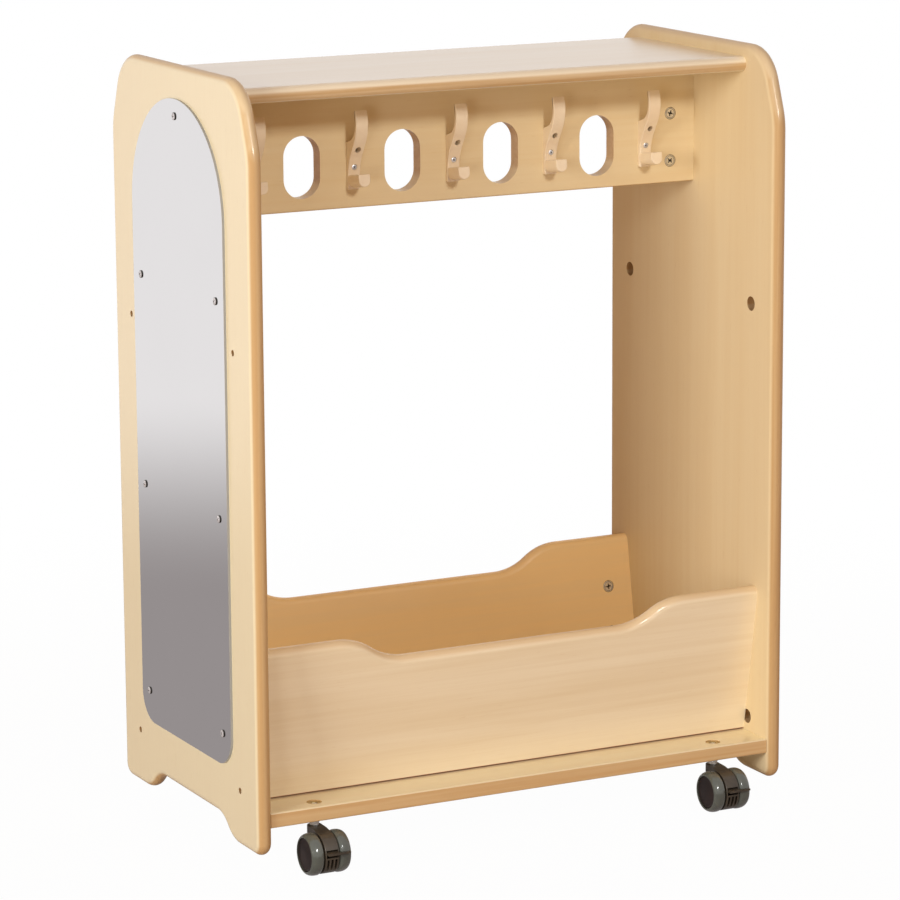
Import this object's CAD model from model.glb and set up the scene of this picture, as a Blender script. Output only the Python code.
"""Looks of a rolling dress up unit: maple boards, side mirror, moulded hooks and twin wheel casters."""

import logging
import math
from collections.abc import Iterable, Mapping, Sequence
from dataclasses import dataclass
from enum import Enum
from typing import Any

import bmesh
import bpy
from mathutils import Matrix, Vector


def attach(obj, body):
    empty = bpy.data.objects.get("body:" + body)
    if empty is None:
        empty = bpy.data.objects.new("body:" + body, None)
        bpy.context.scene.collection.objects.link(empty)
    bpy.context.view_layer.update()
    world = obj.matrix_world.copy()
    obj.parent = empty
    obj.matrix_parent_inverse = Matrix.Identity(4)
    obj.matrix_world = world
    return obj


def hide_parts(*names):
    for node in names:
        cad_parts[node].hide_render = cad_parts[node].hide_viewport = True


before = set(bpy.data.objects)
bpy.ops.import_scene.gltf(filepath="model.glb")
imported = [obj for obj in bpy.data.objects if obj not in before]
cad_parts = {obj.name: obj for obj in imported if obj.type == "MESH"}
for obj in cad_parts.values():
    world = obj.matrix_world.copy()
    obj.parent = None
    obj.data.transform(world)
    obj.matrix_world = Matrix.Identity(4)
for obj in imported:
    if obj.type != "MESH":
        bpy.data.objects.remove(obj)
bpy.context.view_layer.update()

LOG = logging.getLogger("dress_up_unit")
MM = 0.001
CREASE = 35.0
MERGE = 1e-4
FRAME_BODY = "frame"
Colour = tuple[float, float, float]
Point = tuple[float, float, float]
Step = tuple[float, float]
Stop = tuple[float, float, float, float]


def paint(red: int, green: int, blue: int) -> Colour:
    """Turns a colour as the eye reads it into linear light.

    Args:
        red: Red, 0 to 255.
        green: Green, 0 to 255.
        blue: Blue, 0 to 255.

    Returns:
        The same colour in linear light, 0 to 1.
    """
    shares = (v / 255 for v in (red, green, blue))
    return tuple(s / 12.92 if s <= 0.04045 else ((s + 0.055) / 1.055) ** 2.4 for s in shares)


def cosine(degrees: float) -> float:
    """Cosine of an angle in degrees."""
    return math.cos(math.radians(degrees))


def sine(degrees: float) -> float:
    """Sine of an angle in degrees."""
    return math.sin(math.radians(degrees))


def fan(first: float, last: float, count: int) -> list[float]:
    """Evenly spaced angles in degrees, both ends included."""
    return [first + (last - first) * k / (count - 1) for k in range(count)]


# ---- Shader toolkit


class Value:
    """A socket of a shader tree that takes part in Python expressions."""

    def __init__(self, tree: bpy.types.NodeTree, socket: bpy.types.NodeSocket) -> None:
        """Keeps the tree and the socket."""
        self.tree = tree
        self.socket = socket

    def math(self, operation: str, *values: Any) -> "Value":
        """Adds a Math node.

        Args:
            operation: The node's operation.
            values: Numbers or values for its inputs, in order.

        Returns:
            The node's result.
        """
        node = self.tree.nodes.new("ShaderNodeMath")
        node.operation = operation
        for socket, value in zip(node.inputs, values):
            feed(self.tree, socket, value)
        return Value(self.tree, node.outputs[0])

    def __add__(self, other: Any) -> "Value":
        """Sum."""
        return self.math("ADD", self, other)

    __radd__ = __add__

    def __sub__(self, other: Any) -> "Value":
        """Difference."""
        return self.math("SUBTRACT", self, other)

    def __rsub__(self, other: Any) -> "Value":
        """Difference with the value on the right."""
        return self.math("SUBTRACT", other, self)

    def __mul__(self, other: Any) -> "Value":
        """Product."""
        return self.math("MULTIPLY", self, other)

    __rmul__ = __mul__

    def __truediv__(self, other: Any) -> "Value":
        """Quotient."""
        return self.math("DIVIDE", self, other)

    def __abs__(self) -> "Value":
        """Size without sign."""
        return self.math("ABSOLUTE", self)


def feed(tree: bpy.types.NodeTree, socket: bpy.types.NodeSocket, value: Any) -> None:
    """Links a value to a socket, or sets the socket's own number, vector or colour.

    Args:
        tree: The tree that holds the socket.
        socket: The input.
        value: A Value, a list of them for a socket with many links, a number, a vector or a linear colour.
    """
    if isinstance(value, Value):
        tree.links.new(value.socket, socket)
    elif isinstance(value, list):
        for item in reversed(value):
            feed(tree, socket, item)
    elif socket.type == "RGBA" and len(value) == 3:
        socket.default_value = (*value, 1.0)
    else:
        socket.default_value = value


class Tree:
    """A node tree that grows by one method."""

    family = "ShaderNode"

    def __init__(self, tree: bpy.types.NodeTree) -> None:
        """Keeps the tree."""
        self.tree = tree

    def node(
        self,
        kind: str,
        settings: Mapping[str, Any] | None = None,
        sockets: Mapping[Any, Any] | None = None,
        output: str | int = 0,
    ) -> Value:
        """Adds a node of any kind.

        Args:
            kind: The node's type, in full or without the tree's own family name.
            settings: Properties set first.
            sockets: Values or links by socket name or place.
            output: The output that is returned, by name or place.

        Returns:
            The chosen output.
        """
        full = kind.startswith(("ShaderNode", "FunctionNode"))
        node = self.tree.nodes.new(kind if full else self.family + kind)
        for name, value in (settings or {}).items():
            setattr(node, name, value)
        for name, value in (sockets or {}).items():
            feed(self.tree, node.inputs[name], value)
        return Value(self.tree, node.outputs[output])


class Shader(Tree):
    """A material's node tree around one Principled shader."""

    def __init__(self, name: str, **constants: Any) -> None:
        """Makes the material.

        Args:
            name: The material's name.
            constants: Plain values for the shader's own sockets, spaces written as underscores.
        """
        self.material = bpy.data.materials.new(name)
        self.material.use_nodes = True
        super().__init__(self.material.node_tree)
        self.surface = self.tree.nodes["Principled BSDF"]
        self.set(**{key.replace("_", " "): value for key, value in constants.items()})

    def set(self, **sockets: Any) -> None:
        """Feeds the shader's sockets by name."""
        for name, value in sockets.items():
            feed(self.tree, self.surface.inputs[name], value)

    def place(self) -> Value:
        """The point on the piece, in metres, in the unit's own frame."""
        return self.node("TexCoord", output="Object")

    def scaled(self, grain: "Axis", along: float, across: float, shift: float = 0.0) -> Value:
        """Coordinates drawn out along the grain.

        Args:
            grain: Direction of the grain.
            along: Scale along it, per metre.
            across: Scale across it, per metre.
            shift: Offset that gives each board a pattern of its own.

        Returns:
            The scaled coordinates.
        """
        scale = [across] * 3
        scale[grain.value] = along
        return self.node(
            "Mapping", None, {"Vector": self.place(), "Location": (shift,) * 3, "Scale": tuple(scale)}
        )

    def noise(self, vector: Value, scale: float, detail: float = 2.0, distort: float = 0.0) -> Value:
        """Noise about 0.5 on given coordinates.

        Args:
            vector: The coordinates.
            scale: The noise's scale.
            detail: How many octaves it has.
            distort: How far it is bent.

        Returns:
            The noise.
        """
        return self.node(
            "TexNoise", None, {"Vector": vector, "Scale": scale, "Detail": detail, "Distortion": distort}
        )

    def step(self, value: Value, low: float, high: float) -> Value:
        """A smooth step of a value from 0 at low to 1 at high.

        Args:
            value: The value.
            low: Where the step starts.
            high: Where it ends.

        Returns:
            The step.
        """
        return self.node(
            "MapRange",
            {"interpolation_type": "SMOOTHSTEP"},
            {"Value": value, "From Min": low, "From Max": high},
        )

    def mix(self, share: Any, first: Any, second: Any) -> Value:
        """Mixes two colours.

        Args:
            share: Share of the second colour.
            first: The first colour.
            second: The second colour.

        Returns:
            The mixed colour.
        """
        return self.node(
            "Mix",
            {"data_type": "RGBA", "clamp_factor": True},
            {0: share, 6: first, 7: second},
            output=2,
        )

    def along(self, vector: Value, axis: "Axis") -> Value:
        """One coordinate of a vector."""
        return self.node("SeparateXYZ", None, {0: vector}, output=axis.value)

    def facing(self, axis: Point) -> Value:
        """How squarely the surface faces along an axis, either way, from 0 to 1.

        Args:
            axis: The axis.

        Returns:
            The share.
        """
        normal = self.node("TexCoord", output="Normal")
        dot = self.node("VectorMath", {"operation": "DOT_PRODUCT"}, {0: normal, 1: axis}, output="Value")
        return abs(dot)

    def bump(self, height: Value, depth: float, strength: float = 1.0) -> None:
        """Feeds the shader's normal with relief.

        Args:
            height: Relief from 0 to 1.
            depth: Its depth in metres.
            strength: Its strength.
        """
        relief = self.node("Bump", None, {"Height": height, "Distance": depth, "Strength": strength})
        self.set(Normal=relief)


# ---- Outlines: a path is a row of (length, turn) steps. Turn 0 is a straight run of that length, any
# ---- other turn is an arc of that radius, in degrees, to the left when positive. Sizes are millimetres.


def ogee(run: float, rise: float, first: int) -> list[Step]:
    """Two opposite arcs that climb or fall by rise over run.

    Args:
        run: Length along the path.
        rise: Height between the two ends.
        first: 1 turns to the left first, -1 to the right.

    Returns:
        The two steps.
    """
    angle = 2 * math.degrees(math.atan(rise / run))
    radius = run / 2 / sine(angle)
    return [(radius, first * angle), (radius, -first * angle)]


def inset(steps: Iterable[Step], distance: float) -> list[Step]:
    """The same path, moved to its left by a distance.

    Args:
        steps: The path.
        distance: How far it is moved.

    Returns:
        The moved path.
    """
    return [
        (size, turn) if turn == 0 else (size - math.copysign(distance, turn), turn) for size, turn in steps
    ]


def walk(
    steps: Iterable[Step], start: tuple[float, float], heading: float, fine: float = 3.0
) -> list[Stop]:
    """Points along a path, each with the direction to the path's right.

    Args:
        steps: The path.
        start: Its first point.
        heading: Its first heading in degrees.
        fine: Largest turn between two points of an arc, in degrees.

    Returns:
        One (x, y, right x, right y) a point.
    """
    x, y = start
    stops = []

    def stop() -> None:
        """Keeps the point where the walk stands."""
        stops.append((x, y, sine(heading), -cosine(heading)))

    for size, turn in steps:
        stop()
        count = 1 if turn == 0 else max(2, math.ceil(abs(turn) / fine))
        chord = size if turn == 0 else 2 * size * sine(abs(turn) / count / 2)
        for part in range(count):
            middle = heading + turn * 0.5 / count
            x, y = x + chord * cosine(middle), y + chord * sine(middle)
            heading += turn / count
            if part < count - 1:
                stop()
    stop()
    return stops


# ---- Meshes


def facing(origin: Sequence[float], along: Sequence[float]) -> Matrix:
    """A place whose Z axis points along a direction."""
    return Matrix.Translation(origin) @ Vector(along).to_track_quat("Z", "Y").to_matrix().to_4x4()


class Solid:
    """Closed shells in millimetres, gathered into one piece."""

    def __init__(self) -> None:
        """Starts empty."""
        self.points: list[Vector] = []
        self.faces: list[list[int]] = []

    def loft(
        self,
        rings: Sequence[Sequence[Sequence[float]]],
        place: Matrix = Matrix(),
        round_trip: bool = False,
        open_rings: bool = False,
    ) -> "Solid":
        """Skins rings of points that all have the same count.

        Args:
            rings: The rings.
            place: Where they are put.
            round_trip: Joins the last ring to the first, and otherwise closes both ends with a face.
            open_rings: Leaves each ring open between its last and its first point.

        Returns:
            The solid itself.
        """
        first, count = len(self.points), len(rings[0])
        self.points += [place @ Vector(point) for ring in rings for point in ring]
        for k in range(len(rings) if round_trip else len(rings) - 1):
            low, high = first + k * count, first + (k + 1) % len(rings) * count
            for i in range(count - 1 if open_rings else count):
                j = (i + 1) % count
                self.faces.append([low + i, low + j, high + j, high + i])
        if not round_trip:
            for start in (first, len(self.points) - count):
                self.faces.append(list(range(start, start + count)))
        return self

    def turned(
        self, profile: Sequence[tuple[float, float]], place: Matrix = Matrix(), count: int = 64
    ) -> "Solid":
        """Turns a profile about the Z axis of its place.

        Args:
            profile: (radius, height) pairs, from axis to axis, or a closed ring when it starts off the axis.
            place: Where it is put.
            count: Number of steps round the axis.

        Returns:
            The solid itself.
        """
        angles = [math.tau * k / count for k in range(count)]
        rings = [[(r * math.cos(a), r * math.sin(a), h) for r, h in profile] for a in angles]
        return self.loft(rings, place, round_trip=True, open_rings=profile[0][0] == 0)

    def rod(
        self, radius: float, low: float, high: float, place: Matrix = Matrix(), count: int = 48
    ) -> "Solid":
        """Adds a cylinder between two heights.

        Args:
            radius: Its radius.
            low: Its lower end.
            high: Its upper end.
            place: Where it is put.
            count: Number of its sides.

        Returns:
            The solid itself.
        """
        return self.turned([(0, low), (radius, low), (radius, high), (0, high)], place, count)

    def block(self, low: Point, high: Point) -> "Solid":
        """Adds a box between two corners.

        Args:
            low: The lower corner.
            high: The upper corner.

        Returns:
            The solid itself.
        """
        (x0, y0, z0), (x1, y1, z1) = low, high
        return self.loft([[(x0, y0, z), (x1, y0, z), (x1, y1, z), (x0, y1, z)] for z in (z0, z1)])

    def piece(self, name: str) -> bpy.types.Object:
        """Makes the piece, its doubles merged and its faces outwards.

        Args:
            name: Name of the piece.

        Returns:
            The piece.
        """
        mesh = bpy.data.meshes.new(name)
        work = bmesh.new()
        points = [work.verts.new(point) for point in self.points]
        for face in self.faces:
            work.faces.new([points[i] for i in face])
        bmesh.ops.remove_doubles(work, verts=work.verts, dist=MERGE)
        bmesh.ops.recalc_face_normals(work, faces=work.faces)
        work.to_mesh(mesh)
        work.free()
        return placed(name, mesh)


def placed(name: str, mesh: bpy.types.Mesh) -> bpy.types.Object:
    """Puts a mesh into the scene as an object at the origin.

    Args:
        name: Name of the object.
        mesh: Its mesh.

    Returns:
        The object.
    """
    piece = bpy.data.objects.new(name, mesh)
    bpy.context.scene.collection.objects.link(piece)
    return piece


def settle(piece: bpy.types.Object) -> None:
    """Turns the result of a piece's modifiers into its plain mesh and removes them.

    Args:
        piece: The piece.
    """
    graph = bpy.context.evaluated_depsgraph_get()
    mesh = bpy.data.meshes.new_from_object(piece.evaluated_get(graph))
    piece.modifiers.clear()
    piece.data = mesh


class Joining(Enum):
    """Ways to combine two closed solids."""

    CUT = "DIFFERENCE"
    JOIN = "UNION"


def combine(piece: bpy.types.Object, other: Solid, way: Joining) -> None:
    """Cuts another closed solid from a piece, or joins it to it.

    Args:
        piece: The piece that changes.
        other: The other solid.
        way: Cut or join.
    """
    tool = other.piece("tool")
    change = piece.modifiers.new("change", "BOOLEAN")
    change.operation, change.object, change.solver = way.value, tool, "EXACT"
    settle(piece)
    bpy.data.objects.remove(tool)


def finish_piece(
    piece: bpy.types.Object,
    material: bpy.types.Material,
    body: str,
    *nodes: str,
    place: Matrix = Matrix(),
) -> None:
    """Shades a piece, puts it into the unit's frame in metres, dresses it and lets it stand for its nodes.

    Args:
        piece: The piece, in millimetres.
        material: Its material.
        body: The body that it rides on.
        nodes: The CAD nodes that it stands for.
        place: Its place, in millimetres.
    """
    mesh = piece.data
    mesh.transform(Matrix.Scale(MM, 4) @ place)
    mesh.shade_smooth()
    mesh.set_sharp_from_angle(angle=math.radians(CREASE))
    weigh = piece.modifiers.new("weigh", "WEIGHTED_NORMAL")
    weigh.keep_sharp = True
    settle(piece)
    piece.data.materials.clear()
    piece.data.materials.append(material)
    piece.data.polygons.foreach_set("material_index", [0] * len(piece.data.polygons))
    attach(piece, body)
    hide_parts(*nodes)
    LOG.info("made %s: %d faces", piece.name, len(piece.data.polygons))


class Grown(Tree):
    """A Geometry Nodes tree with named inputs, which ends in real, dressed faces."""

    family = "GeometryNode"

    def __init__(self, name: str, sizes: Mapping[str, float | int]) -> None:
        """Makes the tree and its inputs.

        Args:
            name: Name of the tree.
            sizes: The named inputs and their usual values.
        """
        super().__init__(bpy.data.node_groups.new(name, "GeometryNodeTree"))
        sockets = self.tree.interface
        sockets.new_socket("Geometry", in_out="INPUT", socket_type="NodeSocketGeometry")
        sockets.new_socket("Geometry", in_out="OUTPUT", socket_type="NodeSocketGeometry")
        self.keys: dict[str, str] = {}
        for key, size in sizes.items():
            kind = "NodeSocketInt" if isinstance(size, int) else "NodeSocketFloat"
            socket = sockets.new_socket(key, in_out="INPUT", socket_type=kind)
            socket.default_value = size
            self.keys[key] = socket.identifier
        finish = sockets.new_socket("Finish", in_out="INPUT", socket_type="NodeSocketMaterial")
        self.keys["Finish"] = finish.identifier
        self.entry = self.tree.nodes.new("NodeGroupInput")

    def given(self, key: str) -> Value:
        """One of the tree's inputs."""
        return Value(self.tree, self.entry.outputs[key])

    def vector(self, x: Any, y: Any, z: Any) -> Value:
        """A vector of three numbers or values."""
        return self.node("ShaderNodeCombineXYZ", None, {0: x, 1: y, 2: z})

    def moved(
        self, geometry: Value, x: Any = 0.0, z: Any = 0.0, turn: Point = (0.0, 0.0, 0.0)
    ) -> Value:
        """Geometry turned, and then moved along X and Z.

        Args:
            geometry: The geometry.
            x: Way along X.
            z: Way along Z.
            turn: Turn about X, Y and Z.

        Returns:
            The moved geometry.
        """
        turned = self.node("FunctionNodeEulerToRotation", None, {0: turn})
        sockets = {"Geometry": geometry, "Translation": self.vector(x, 0.0, z), "Rotation": turned}
        return self.node("Transform", None, sockets)

    def rod(self, radius: Any, depth: Any, count: int = 40) -> Value:
        """A cylinder about the origin."""
        return self.node("MeshCylinder", None, {"Vertices": count, "Radius": radius, "Depth": depth})

    def sunk(self, geometry: Value, top: Any, deep: float) -> Value:
        """Stores how deep each point lies below a top, as the attribute "sunk".

        Args:
            geometry: The geometry.
            top: Height of the top.
            deep: Depth at which the attribute is 1.

        Returns:
            The geometry with the attribute.
        """
        height = self.node("ShaderNodeSeparateXYZ", None, {0: self.node("InputPosition")}, output="Z")
        share = (top - height) / deep
        sockets = {"Geometry": geometry, "Name": "sunk", "Value": share}
        return self.node("StoreNamedAttribute", {"data_type": "FLOAT", "domain": "POINT"}, sockets)

    def boolean(self, operation: str, first: Value | None, others: list[Value]) -> Value:
        """Combines closed meshes exactly.

        Args:
            operation: DIFFERENCE, UNION or INTERSECT.
            first: The mesh that is cut, for a difference.
            others: The other meshes.

        Returns:
            The result.
        """
        sockets: dict[Any, Any] = {"Mesh 2": others}
        if first is not None:
            sockets["Mesh 1"] = first
        return self.node("MeshBoolean", {"operation": operation, "solver": "EXACT"}, sockets)

    def end(self, geometry: Value) -> "Grown":
        """Ends the tree in real faces with the finish on them.

        Args:
            geometry: The geometry.

        Returns:
            The tree itself.
        """
        real = self.node("RealizeInstances", None, {0: geometry})
        dressed = self.node("SetMaterial", None, {0: real, "Material": self.given("Finish")})
        self.tree.links.new(dressed.socket, self.tree.nodes.new("NodeGroupOutput").inputs[0])
        return self

    def grow(
        self,
        name: str,
        start: bpy.types.Mesh,
        finish: bpy.types.Material,
        sizes: Mapping[str, float | int],
    ) -> bpy.types.Object:
        """Runs the tree on a mesh.

        Args:
            name: Name of the new piece.
            start: The mesh that goes in.
            finish: The material.
            sizes: Values that differ from the usual ones.

        Returns:
            The piece, a plain mesh in millimetres.
        """
        piece = placed(name, start)
        modifier = piece.modifiers.new(name, "NODES")
        modifier.node_group = self.tree
        for key, value in {**sizes, "Finish": finish}.items():
            modifier[self.keys[key]] = value
        settle(piece)
        return piece


# ---- Finishes


class Axis(Enum):
    """Direction along the unit's frame."""

    ACROSS = 0
    DEPTH = 1
    UPRIGHT = 2


PALE_MAPLE = paint(237, 227, 190)
LIGHT_MAPLE = paint(228, 209, 168)
DARK_MAPLE = paint(220, 194, 146)
EDGE_MAPLE = paint(195, 158, 107)
BORE_MAPLE = paint(134, 92, 48)
FOOT_STAIN = paint(176, 86, 18)
ACROSS_FACE = (1.0, 0.0, 0.0)
DEPTH_FACE = (0.0, 1.0, 0.0)
LEVEL_FACE = (0.0, 0.0, 1.0)

# Distances in metres between which one look turns into the other: from the unit's middle plane to its outer
# faces and to the mouths of their bores, and from a bore's centre to its rim and to its inner step.
OUTER_FACE = (0.3405, 0.3415)
BORE_MOUTH = (0.3492, 0.3496)
BORE_RIM = (0.00868, 0.00882)
BORE_STEP = (0.0060, 0.0080)
STAIN_FADE = 0.0006
# The layers of a board's figure, from coarse to fine: scale along and across the grain, octaves and bend.
FIGURE_LAYERS = (
    (0.9, 9.0, 3.0, 1.2),
    (1.6, 34.0, 3.0, 0.9),
    (3.0, 160.0, 4.0, 0.5),
    (14.0, 900.0, 3.0, 0.0),
    (60.0, 520.0, 1.0, 0.0),
)


@dataclass(frozen=True)
class Maple:
    """Pale maple under a glossy lacquer, with a darker lipping round the edges.

    Attributes:
        name: Name of the material.
        grain: Direction in which the grain runs.
        face: Axis square to the broad faces.
        light: Colour of the early wood.
        dark: Colour of the late wood.
        edge: Colour of the rounded edges.
        shift: Offset of the board's own pattern.
        figure: Strength of the figure, from 0 to 1.
        gloss: Weight of the lacquer's gloss, first on the unit's inside and then on its outer faces.
        bores: Centres of bores in Y and Z, in metres, whose inside is dark.
        foot: Height below which the wood is stained dark by the joint, in metres.
        crest: Share of the early wood's colour on edges that face upwards.
    """

    name: str
    grain: Axis
    face: Point
    light: Colour
    dark: Colour
    edge: Colour
    shift: float = 0.0
    figure: float = 1.0
    gloss: tuple[float, float] = (0.3, 0.3)
    bores: tuple[tuple[float, float], ...] = ()
    foot: float = -1.0
    crest: float = 0.75

    def material(self) -> bpy.types.Material:
        """Builds the material.

        Returns:
            The material.
        """
        s = Shader(self.name, Coat_Roughness=0.22, Coat_IOR=1.75, Specular_IOR_Level=0.03)
        layers = [
            s.noise(s.scaled(self.grain, along, across, self.shift), 1.0, detail, bend)
            for along, across, detail, bend in FIGURE_LAYERS
        ]
        fine, fibre = layers[2:4]
        across = abs(s.along(s.place(), Axis.ACROSS))
        outside = s.step(across, *OUTER_FACE)
        face = s.step(s.facing(self.face), 0.72, 0.97)
        colour = s.mix(face, self.lipping(s, fine), self.wood(s, layers, outside))
        colour = self.bored(s, colour, across)
        sound = s.step(s.along(s.place(), Axis.UPRIGHT), self.foot, self.foot + STAIN_FADE)
        inner, outer = self.gloss
        s.set(
            **{
                "Base Color": s.mix(1 - sound, colour, FOOT_STAIN),
                "Roughness": 0.36 + fine * 0.10 + (1 - face) * 0.04,
                "Coat Weight": ((outside * (outer - inner) + inner) * face + (1 - face) * 0.4) * sound,
            }
        )
        s.bump(fibre * 0.7 + fine * 0.3, 0.00005, 0.5)
        return s.material

    def wood(self, s: Shader, layers: Sequence[Value], outside: Value) -> Value:
        """Colour of the broad faces.

        Args:
            s: The material's tree.
            layers: The figure's layers, from coarse to fine.
            outside: 1 on the unit's outer faces, which are paler.

        Returns:
            The colour.
        """
        broad, streak, fine, fibre, fleck = layers
        late = s.step(broad * 0.40 + streak * 0.35 + fine * 0.25, 0.34, 0.68) * self.figure
        wood = s.mix(late, self.light, self.dark)
        wood = s.mix(outside * 0.8, wood, PALE_MAPLE)
        wood = s.mix(s.step(fibre, 0.45, 0.78) * (0.22 * self.figure), wood, self.dark)
        return s.mix(s.step(fleck, 0.70, 0.80) * 0.16, wood, self.edge)

    def lipping(self, s: Shader, fine: Value) -> Value:
        """Colour of the rounded edges, paler where they face upwards.

        Args:
            s: The material's tree.
            fine: A fine layer of the figure.

        Returns:
            The colour.
        """
        edge = s.mix(s.step(fine, 0.35, 0.7) * 0.30, self.edge, self.dark)
        upward = s.along(s.node("TexCoord", output="Normal"), Axis.UPRIGHT)
        return s.mix(s.step(upward, 0.08, 0.45) * self.crest, edge, self.light)

    def bored(self, s: Shader, colour: Value, across: Value) -> Value:
        """Darkens the inside of the bores.

        Args:
            s: The material's tree.
            colour: Colour of the board.
            across: Distance from the unit's middle plane.

        Returns:
            The colour with dark bores, as deep as the outer faces.
        """
        inside = 1 - s.step(across, *BORE_MOUTH)
        for y, z in self.bores:
            flat = s.node(
                "Mapping", None, {"Vector": s.place(), "Location": (0.0, -y, -z), "Scale": (0.0, 1.0, 1.0)}
            )
            reach = s.node("VectorMath", {"operation": "LENGTH"}, {0: flat}, output="Value")
            dark = (1 - s.step(reach, *BORE_RIM)) * (s.step(reach, *BORE_STEP) * 0.4 + 0.45)
            colour = s.mix(dark * inside, colour, BORE_MAPLE)
        return colour


@dataclass(frozen=True)
class MirrorSheet:
    """Mirrored acrylic sheet with polished grey edges.

    Attributes:
        name: Name of the material.
        silver: Colour of the reflection.
        edge: Colour of the sheet's edge.
    """

    name: str
    silver: Colour
    edge: Colour

    def material(self) -> bpy.types.Material:
        """Builds the material.

        Returns:
            The material.
        """
        s = Shader(self.name)
        face = s.step(s.facing((1.0, 0.0, 0.0)), 0.80, 0.98)
        smear = s.noise(s.place(), 7.0, 4.0, 0.8)
        haze = s.noise(s.scaled(Axis.UPRIGHT, 5.0, 38.0), 1.0, 3.0)
        s.set(
            **{
                "Base Color": s.mix(face, self.edge, s.mix(smear * 0.05, self.silver, self.edge)),
                "Metallic": face,
                "Roughness": 0.16 - face * 0.13 + s.step(haze * smear, 0.24, 0.5) * 0.03,
            }
        )
        return s.material


@dataclass(frozen=True)
class Moulded:
    """Moulded plastic with a faint grain and slow colour drift.

    Attributes:
        name: Name of the material.
        colour: Main colour.
        shade: Colour of the slightly darker patches.
        rough: Mean roughness.
        grain: Size of the moulded grain, in metres.
        coat: Weight of the glossy skin.
    """

    name: str
    colour: Colour
    shade: Colour
    rough: float
    grain: float = 0.0006
    coat: float = 0.0

    def material(self) -> bpy.types.Material:
        """Builds the material.

        Returns:
            The material.
        """
        s = Shader(self.name, Coat_Weight=self.coat, Coat_Roughness=0.12, Specular_IOR_Level=0.3)
        drift = s.noise(s.place(), 45.0, 3.0, 0.5)
        grain = s.noise(s.place(), 1.0 / self.grain, 2.0)
        s.set(
            **{
                "Base Color": s.mix(s.step(drift, 0.3, 0.75), self.colour, self.shade),
                "Roughness": self.rough + (drift - 0.5) * 0.12 + (grain - 0.5) * 0.06,
            }
        )
        s.bump(grain, 0.00003, 0.5)
        return s.material


@dataclass(frozen=True)
class Metal:
    """Plated or turned metal with fine tool marks, dark where the attribute "sunk" nears 1.

    Attributes:
        name: Name of the material.
        colour: Main colour.
        tarnish: Colour of the dull patches.
        rough: Mean roughness.
        marks: Scale of the tool marks, per metre.
        metallic: How metallic it is.
        grime: Colour of the sunk parts.
    """

    name: str
    colour: Colour
    tarnish: Colour
    rough: float
    marks: float = 2400.0
    metallic: float = 0.92
    grime: Colour = (0.020, 0.016, 0.012)

    def material(self) -> bpy.types.Material:
        """Builds the material.

        Returns:
            The material.
        """
        s = Shader(self.name)
        sunk = s.step(s.node("Attribute", {"attribute_name": "sunk"}, output="Fac"), 0.05, 0.75)
        dull = s.noise(s.place(), 160.0, 3.0, 0.4)
        mark = s.noise(s.scaled(Axis.DEPTH, self.marks * 0.2, self.marks), 1.0, 2.0)
        plain = s.mix(s.step(dull, 0.42, 0.72) * 0.6, self.colour, self.tarnish)
        s.set(
            **{
                "Base Color": s.mix(sunk, plain, self.grime),
                "Metallic": self.metallic - sunk * 0.7,
                "Roughness": self.rough + (mark - 0.5) * 0.12 + s.step(dull, 0.45, 0.7) * 0.10,
            }
        )
        s.bump(mark, 0.00002, 0.4)
        return s.material


def maple(
    name: str,
    grain: Axis,
    face: Point,
    shift: float,
    figure: float = 0.8,
    gloss: tuple[float, float] = (0.1, 0.1),
    **extras: Any,
) -> Maple:
    """One board's maple in the unit's common colours.

    Args:
        name: Name of the material.
        grain: Direction of the grain.
        face: Axis square to the broad faces.
        shift: Offset of the board's own pattern.
        figure: Strength of the figure.
        gloss: Gloss inside and outside.
        extras: Other colours, bores, foot or crest.

    Returns:
        The finish.
    """
    colours = {"light": LIGHT_MAPLE, "dark": DARK_MAPLE, "edge": EDGE_MAPLE}
    return Maple(name, grain, face, shift=shift, figure=figure, gloss=gloss, **{**colours, **extras})


SCREW_STEEL = Metal("screw_steel", paint(214, 214, 216), paint(170, 168, 166), 0.34, metallic=0.35)
CAM_ZINC = Metal("cam_zinc", paint(228, 224, 212), paint(186, 178, 162), 0.30, 1500.0)
STEM_ZINC = Metal("stem_zinc", paint(240, 240, 236), paint(212, 212, 206), 0.28, metallic=0.3)
AXLE_STEEL = Metal("axle_steel", paint(170, 170, 172), paint(120, 118, 116), 0.30)
INSERT_BRASS = Metal("insert_brass", paint(190, 166, 112), paint(138, 112, 66), 0.32)
BEECH = Maple(
    "dowel_beech", Axis.ACROSS, ACROSS_FACE, paint(214, 176, 128), paint(190, 148, 98), paint(206, 166, 116)
)
IVORY = Moulded("hook_plastic", paint(238, 221, 190), paint(232, 212, 180), 0.34, 0.0009, 0.35)
NYLON = Moulded("caster_plastic", paint(74, 66, 54), paint(58, 51, 42), 0.40, 0.0005, 0.25)
HUB_NYLON = Moulded("hub_plastic", paint(40, 29, 26), paint(30, 22, 20), 0.50, 0.0005, 0.0)
TREAD = Moulded("tread_grey", paint(86, 91, 83), paint(76, 80, 73), 0.24, 0.0007, 0.9)


def dress(names: Iterable[str], material: bpy.types.Material) -> None:
    """Gives CAD nodes a material in every slot.

    Args:
        names: The nodes.
        material: The material.
    """
    for name in names:
        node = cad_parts[name]
        node.data.materials.clear()
        node.data.materials.append(material)
        LOG.info("dressed %s in %s", name, material.name)


# ---- Studio


@dataclass(frozen=True)
class Lamp:
    """A soft box.

    Attributes:
        name: Name of the lamp.
        place: Where it stands, in metres.
        size: Edge length in metres.
        power: Power in watts.
        shows: Whether glossy surfaces show it.
    """

    name: str
    place: Point
    size: float
    power: float
    shows: bool = False


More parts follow.
